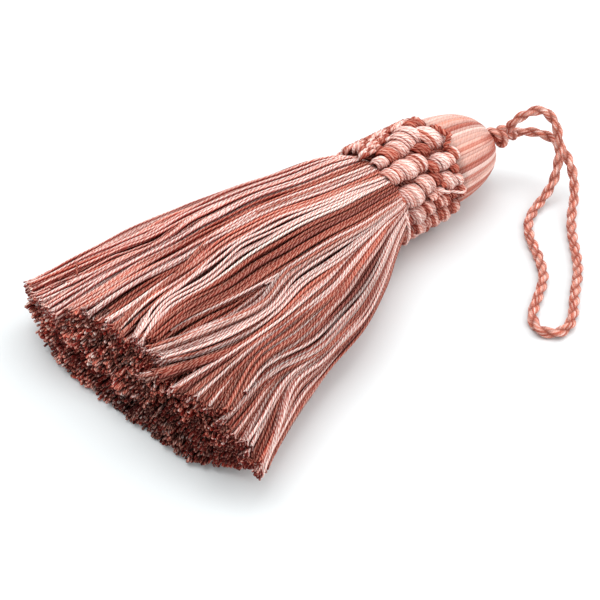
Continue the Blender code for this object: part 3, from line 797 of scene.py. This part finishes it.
def makeSkirt(material):
    rng = np.random.default_rng(11)
    locks = lambda rows, **look: [lockYarns(row, rng, **look) for row in rows]
    pieces = {
        # far locks are painted lighter and near locks darker (painted light), with painted shade in their
        # folds
        "skirt_far_locks": locks(farLocks, light=1.16, folds=0.2)
        + locks(middleLocks, light=0.97, folds=0.36),
        "skirt_near_locks": locks(nearLocks, light=0.93, folds=0.56)
        + looseYarns(strays, 30, skirtPoint, skirtOutward, 6),
        "skirt_under_locks": locks(farLocks + middleLocks + nearLocks, lower=True),
        "skirt_layer": [baseRing(0, rng, 166, 36, 6, "ttsshpwtm")],
        # the inner rings take mostly dark dyes: painted shade for yarns that lie deep inside
        "skirt_heart": [baseRing(k, rng, 164 - 5 * k, 14, 5, "tthhssmp") for k in range(1, 6)],
        "skirt_core": [baseRing(k, rng, 160 - 7 * k, 12, 5, "tthhssm") for k in range(6, 12)],
        "cut_plies": [cutPlies(rng), cutNubs(rng)],
    }
    for name, parts in pieces.items():
        makePiece(name, parts, material, ["skirt"])


makeSkirt(skirtFinish)


# Collar
collarSet = {"back": -12.6, "front": 5.8, "skew": 2.3, "sleeve": 11.0, "bore": 9.2, "yarn": 0.74,
             "lean": 19.0}  # degrees, of the puffs


def collarPoint(x, turn, radius):
    angle = np.radians(turn)
    return together(x, -radius * np.sin(angle), axisHeight + radius * np.cos(angle))


def collarOutward(x, turn, radius):
    return unit(collarPoint(x, turn, radius + 1.0) - collarPoint(x, turn, radius))


# A puff: yarns side by side that arch over a padded mound. With t from -1 to 1 over it and k from -1
# to 1 along it, each rises by high x sqrt(1 - t^2) x (1 - 0.42 |k|^2.5), and leans as it goes down.
def puffYarns(left, right, upper, lower, letters, high, rng):
    yarn = collarSet["yarn"]
    count = max(2, round((right - left) / (yarn * 0.72)))
    m = 15
    t = np.linspace(-1, 1, m)[None]
    k = ((np.arange(count) + 0.5) / count * 2 - 1)[:, None]
    reach = 1 - 0.22 * np.abs(k) ** 3
    half = (lower - upper) / 2
    lean = math.tan(math.radians(collarSet["lean"]))
    x = (left + right) / 2 + k * (right - left) / 2 + lean * t * reach * half * 0.21
    turn = (upper + lower) / 2 + t * reach * half
    arch = np.sqrt(np.maximum(1 - t ** 2, 0))
    radius = collarSet["sleeve"] - 0.75 + (high + 0.35) * arch * (1 - 0.42 * np.abs(k) ** 2.5)
    path = collarPoint(x, turn, radius) + rng.uniform(-0.06, 0.06, (count, 1, 3))
    slope = together(0.0 * x, -np.cos(np.radians(turn)), -np.sin(np.radians(turn)))
    out = unit(collarOutward(x, turn, radius) + slope * (t * 0.9)[..., None])
    size = np.full((count, m), yarn / 2) * rng.uniform(0.94, 1.08, (count, 1))
    shade = np.repeat(dyed(letters, count), m, 1) * rng.uniform(0.88, 1.06, (count, 1, 1))
    # painted shade: darker and redder towards the feet of each arch and at the puff's ends, where it dives
    # between puffs
    puffShade = (0.4 + 0.66 * arch ** 0.8) * (1 - 0.3 * k ** 4)
    shade = shade * together(puffShade, puffShade ** 1.7, puffShade ** 1.8)
    return sweep(lift(path, size), out, size, shade, sides=8)


# Puffs on the top and on the right: from and to along the axis, upper and lower edge as turns from the
# top, the dyes of their yarns and how high they stand
puffs = (
    (-14.2, -11.2, 8, 21, "wpwp", 1.7), (-11.0, -8.4, 0, 21, "smsss", 2.0),
    (-8.4, -5.2, -3, 21, "pwpwp", 2.3), (-5.2, -3.0, -12, 19, "wpw", 2.5),
    (-3.0, 0.2, -18, 15, "wwwwp", 2.6), (-3.6, -0.5, 15, 32, "ttts", 1.9),
    (-0.7, 4.2, -6, 30, "pswwwp", 2.5), (0.3, 4.9, -25, -7, "tsttst", 2.0),
    (-14.0, -10.6, 25, 46, "pwtpw", 2.1), (-10.6, -6.5, 23, 48, "wpwwpw", 2.5),
    (-6.5, -3.3, 23, 47, "ptwpw", 2.3), (-3.3, -0.9, 38, 56, "tstw", 2.0),
    (-0.9, 2.3, 35, 56, "wwwwp", 2.5), (2.3, 3.9, 38, 56, "pw", 2.1), (3.9, 5.9, 33, 52, "swp", 2.0),
    (-14.0, -12.1, 57, 72, "tst", 1.7), (-12.1, -7.1, 52, 79, "wpgwpgw", 2.6),
    (-7.0, -3.4, 49, 72, "pwgpw", 2.3), (-3.4, -0.6, 51, 69, "thth", 1.7), (-1.2, 0.3, 65, 74, "s", 1.7),
    (-0.3, 2.7, 57, 80, "pwgp", 2.3), (2.7, 5.0, 65, 80, "wpg", 2.1), (2.5, 4.6, 53, 65, "tst", 1.7),
    (-3.4, -0.6, 71, 80, "pw", 1.8), (-12.5, -10.6, 83, 101, "tht", 1.8),
    (-10.5, -7.0, 79, 103, "gwggp", 2.5), (-7.0, -3.8, 80, 99, "tpgp", 2.2),
    (-5.0, -3.3, 73, 82, "pw", 1.9), (-3.8, -1.5, 77, 96, "tpt", 2.1), (-1.5, 0.9, 80, 99, "ptp", 2.1),
    (0.9, 3.5, 78, 94, "ttht", 1.9), (3.5, 6.0, 80, 99, "tsp", 1.9), (-12.2, -8.6, 107, 130, "sptg", 2.2),
    (-8.5, -4.8, 105, 129, "tpgs", 2.3), (-4.7, -1.2, 103, 128, "ptpg", 2.3),
    (-1.1, 2.3, 102, 126, "stpt", 2.2), (2.4, 5.8, 103, 126, "tspt", 2.0),
)


# The collar's ground: rings of yarn side by side from edge to edge, closer in at both edges
def makeSleeve(rng):
    v, rings, m = collarSet, 26, 56
    share = (np.arange(rings) / (rings - 1))[:, None]
    turn = np.linspace(0, 360, m)[None] + np.zeros((rings, 1))
    back = v["back"] + 0.5 + v["skew"] * np.sin(np.radians(turn))
    x = back + (v["front"] - 0.5 - back) * share
    edge = 1 - np.abs(2 * share - 1) ** 6
    radius = v["bore"] + 0.55 + (v["sleeve"] - v["bore"] - 0.8) * edge
    # dark dyes darkened further: painted shade under and between the puffs
    shade = strandShade(rings, m, "thtthh", rng) * 0.6
    return sweep(collarPoint(x, turn, radius), collarOutward(x, turn, radius), np.full((rings, m), 0.47),
                 shade, sides=5)


# A row of chain stitches along the collar: pairs of leaf-shaped loops, bow = sin(pi t) to each side
def chainRow(left, right, turn, letters, rng):
    count = round((right - left) / 1.7)
    parts = []
    t = np.linspace(0, 1, 9)[None]
    arch = np.sin(np.pi * t)
    bow = arch ** 0.8
    size = 0.24 + 0.26 * bow
    radius = collarSet["sleeve"] - 0.2 + 1.2 * arch ** 0.7
    for i in range(count):
        x = left + (right - left) * (i + 0.5 * (1 + math.sin(turn))) / count + 2.9 * (t - 0.5)
        for way in (-1, 1):
            side = turn + way * (0.4 + 2.6 * bow * (1 - 0.35 * t)) + 0.8 * math.sin(7.0 * i + turn)
            path = lift(collarPoint(x, side, radius), size)
            base = np.array(dyes[letters[(i + (way > 0)) % len(letters)]]) * rng.uniform(0.85, 1.06)
            # painted shade at both ends of each loop, where it dives into the ground
            shade = base * (0.55 + 0.45 * arch)[..., None]
            parts.append(sweep(path, collarOutward(x, side, radius), size, shade, sides=7))
    return parts


# Loose lengths on the collar, by x, turn and radius
collarStrays = (
    (((-14.2, 70, 12.2), (-13.9, 78, 13.4), (-13.6, 90, 14.0), (-13.1, 104, 14.0), (-12.2, 118, 13.6),
      (-11.0, 130, 12.6)), "w", 0.36),
    (((0.6, 80, 11.5), (2.0, 82, 12.9), (4.0, 86, 13.0), (6.0, 89, 11.8)), "w", 0.34),
    (((-2.6, 72, 12.0), (-1.8, 74, 13.2), (-0.6, 77, 13.2), (0.4, 79, 12.2)), "w", 0.34),
)
edgeCord = ((3.6, 7, 12.4), (4.1, 11, 13.0), (4.4, 16, 13.2), (4.6, 21, 13.2), (5.6, 25, 12.9),
            (5.0, 28, 12.9), (4.2, 31, 12.9), (3.2, 35, 12.2))


def makeCollar(material):
    rng = np.random.default_rng(23)
    parts = [makeSleeve(rng)] + [puffYarns(*puff, rng) for puff in puffs]
    for row in range(5, 10):
        turn = 27.7 * row
        for place in range(5):
            skew = collarSet["skew"] * math.sin(math.radians(turn))
            left = -12.4 + 3.65 * place + skew * (1 - 0.2 * place)
            letters = rng.choice(["wpwps", "tstps", "pwtpw", "stpws", "gpwpt"])
            parts.append(puffYarns(left, left + 3.5, turn - 12, turn + 12, letters, 2.3, rng))
    for row in range(12):
        letters = ["wtpt", "twps", "ptwt", "wptp", "spwt"][row % 5]
        left, right = (-14.3, -8.4) if row == 0 else (-13.9, -5.4) if row < 3 else (-13.4, 5.6)
        parts += chainRow(left, right, -2.0 - 7.6 * row, letters, rng)
    parts += looseYarns(collarStrays, 34, collarPoint, collarOutward, 7)
    line = evenLine([collarPoint(*p) for p in edgeCord], 40)[0]
    for k, letter in enumerate("st"):
        centre, arm = plies(line, carriedFrame(line), 1, 1.9, 0.36, phase=k / 2)
        parts.append(sweep(centre, arm, np.full((1, 40), 0.38), strandShade(1, 40, letter, rng), sides=7))
    makePiece("collar_puffs", parts, material, ["collar"])


# this also sets the collar yarn's painted shade and painted glint
collarFinish = yarnFinish("collar yarn", groove=0.46, sideShade=0.26, strength=0.7, deep=0.14, paintedGlint=1.0,
                          rough=0.52, tip=0.95)
makeCollar(collarFinish)


# Head
headSet = {"front": 6.1, "tip": 27.6, "wide": 10.9, "high": 9.95, "lean": (3.0, -3.5), "point": 0.85,
           "yarns": 88, "yarn": 0.74}


# The head's dome: x = front + (tip - front) x sin(part), its oval section shrinks with
# cos(part)^point, and the tip leans off the axis with the square of the way there. part is 0 to 1.
def headPoint(part, turn, more):
    v = headSet
    bow = np.clip(part, 0, 1) * np.pi / 2
    x = v["front"] + (v["tip"] - v["front"]) * np.sin(bow) + np.minimum(part, 0) * 12.0
    room = np.maximum(np.cos(bow), 0.0) ** v["point"]
    lean = np.sin(bow) ** 2
    angle = np.radians(turn)
    return together(x, v["lean"][0] * lean - (v["wide"] * room + more) * np.sin(angle),
                    axisHeight + v["lean"][1] * lean + (v["high"] * room + more) * np.cos(angle))


# How far apart count yarns are round it there
def headSpacing(part, count):
    bow = np.clip(part, 0, 1) * np.pi / 2
    return 2 * np.pi * (headSet["high"] * np.maximum(np.cos(bow), 0.02) ** headSet["point"]) / count


# The dyes round the head from the far side over the top, near the collar (after >, near the tip)
stripes = (
    "wgpgwpgwgpwgpgmpg", "st", "gwgpgp>gwggpt", "spgpg>tsgst", "st", "ww", "sgpw", "sst>stt", "p",
    "sts>tts", "ptpptssptpsttpspttpstppstps", "mptspppstmspppmppg",
)


def headYarns(rng):
    count, m = headSet["yarns"], 34
    near = "".join(group.split(">")[0] for group in stripes)
    far = "".join(group.split(">")[-1] for group in stripes)
    part = -0.1 + 1.085 * np.linspace(0, 1, m)[None] ** 0.9 + np.zeros((count, 1))
    spacing = headSpacing(part, count)
    size = np.clip(spacing * 0.74, 0.1, headSet["yarn"] / 2 + 0.16) * rng.uniform(0.95, 1.05, (count, 1))
    turn = (-60.0 + 360 / count * np.arange(count))[:, None]
    turn = turn + rng.uniform(-0.8, 0.8, (count, 1)) + 2.0 * np.sin(part * 2.2)
    level = np.array([0.0, 0.8, 0.1, 0.6])[np.arange(count)[:, None] % 4]
    more = level * np.maximum(0.0, size * 2 - spacing) * 0.16 + rng.uniform(-0.04, 0.04, (count, 1))
    path = headPoint(part, turn, more)
    out = unit(headPoint(part, turn, more + 0.5) - path + 1e-9)
    one, two = dyed((near * 2)[:count], count), dyed((far * 2)[:count], count)
    shade = one + (two - one) * ease(part, 0.25, 0.55)[..., None]
    shade = 0.76 * shade + 0.12 * np.roll(shade, 1, 0) + 0.12 * np.roll(shade, -1, 0)
    shade = shade * rng.uniform(0.86, 1.0, (count, 1, 1))
    # painted shade where the yarns run in under the collar
    shade = 0.95 * shade * (0.55 + 0.45 * ease(part, -0.02, 0.08))[..., None]
    return sweep(path, out, size, shade, sides=8, flat=0.6)


# A closed dome of yarn deeper down, dark and painted darker by half as painted shade, so that nothing shows
# between the yarns above
def headLining(rng):
    count, m = 44, 20
    part = -0.12 + 1.09 * np.linspace(0, 1, m)[None] + np.zeros((count, 1))
    turn = (360 / count * (np.arange(count) + 0.5))[:, None] + 0 * part
    size = np.clip(headSpacing(part, count) * 0.62, 0.15, 0.85)
    path = headPoint(part, turn, -0.45 - size)
    out = unit(headPoint(part, turn, 0.5) - headPoint(part, turn, 0.0) + 1e-9)
    return sweep(path, out, size, strandShade(count, m, "thth", rng) * 0.5)


def makeHead(material):
    rng = np.random.default_rng(31)
    makePiece("head_yarns", [headYarns(rng), headLining(rng)], material, ["head"])


# this also sets the head yarn's painted shade and painted glint
headFinish = yarnFinish("head yarn", groove=0.2, sideShade=0.22, strength=0.4, deep=0.08, paintedGlint=0.4,
                        rough=0.55, tip=0.8)
makeHead(headFinish)


# Knot
# Its cord comes out of the head's tip and winds round the tassel's axis in a wide turn and a small one:
# x = back + reach x share of the way, radius from wide to small
knotSet = {
    **ropeSet, "turns": (-100, 540), "back": -3.1, "reach": 5.4, "wide": 1.75, "small": 1.1,
    "tilt": (-0.2, 0.06), "mid": (30.05, -1.15, 12.1), "plyPitch": 8.6, "plyOff": 0.52,
    "strandOff": 0.54, "strandRadius": 0.24,
}


def makeKnot(v, material):
    rng = np.random.default_rng(5)
    middle, (side, up) = np.array(v["mid"]), v["tilt"]
    share = np.linspace(0, 1, 28)
    turn = np.radians(v["turns"][0] + (v["turns"][1] - v["turns"][0]) * share)
    x = v["back"] + v["reach"] * share
    radius = v["wide"] + (v["small"] - v["wide"]) * ease(share, 0.42, 0.8)
    route = together(x, side * (x + 1.0) - radius * np.sin(turn), up * (x + 1.0) + radius * np.cos(turn))
    line = evenLine(np.vstack([[(-4.4, 0.6, 0.2)], route, [(1.6, -0.5, 0.2)]]) + middle, 110)[0]
    x = np.linspace(-3.6, 2.4, 16)  # its filled middle
    heart = together(x, side * (x + 1.0), up * (x + 1.0)) + middle
    size = 0.35 + 1.15 * np.sin(np.pi * (x + 3.6) / 6.0) ** 0.6 * (1 - 0.35 * ease(x, -0.5, 1.5))
    fill = sweep(heart[None], carriedFrame(heart)[None], size[None], strandShade(1, 16, "t", rng), sides=14)
    makePiece("tied_knot", rope(line, v, rng) + [fill], material, ["knot"])


makeKnot(knotSet, cordFinish)


# Table and light
def makeTable(v):
    kit = Finish("table")
    kit.set(Base_Color=(0.78, 0.815, 0.825, 1.0), Roughness=0.6, Specular_IOR_Level=0.2)
    half = v["floorSize"] / 2
    mesh = bpy.data.meshes.new("table")
    corners = [(-half, -half, 0), (half, -half, 0), (half, half, 0), (-half, half, 0)]
    mesh.from_pydata(corners, [], [(0, 1, 2, 3)])
    mesh.materials.append(kit.material)
    addObject("table", mesh)


def makeLight(name, place, size, power):
    data = bpy.data.lights.new(name, "AREA")
    data.size = size
    data.energy = power
    light = addObject(name, data)
    light.location = place
    light.rotation_euler = (-Vector(place)).to_track_quat("-Z", "Y").to_euler()


def makeRoom(strength):
    world = bpy.data.worlds.new("room")
    world.use_nodes = True
    inputs = world.node_tree.nodes["Background"].inputs
    inputs["Color"].default_value = (1.0, 1.0, 1.0, 1.0)
    inputs["Strength"].default_value = strength
    scene.world = world
    scene.view_settings.view_transform = "Standard"


makeTable(stageSet)
for lightSet in stageSet["lights"]:
    makeLight(*lightSet)
makeRoom(stageSet["room"])
print("table and lights made")
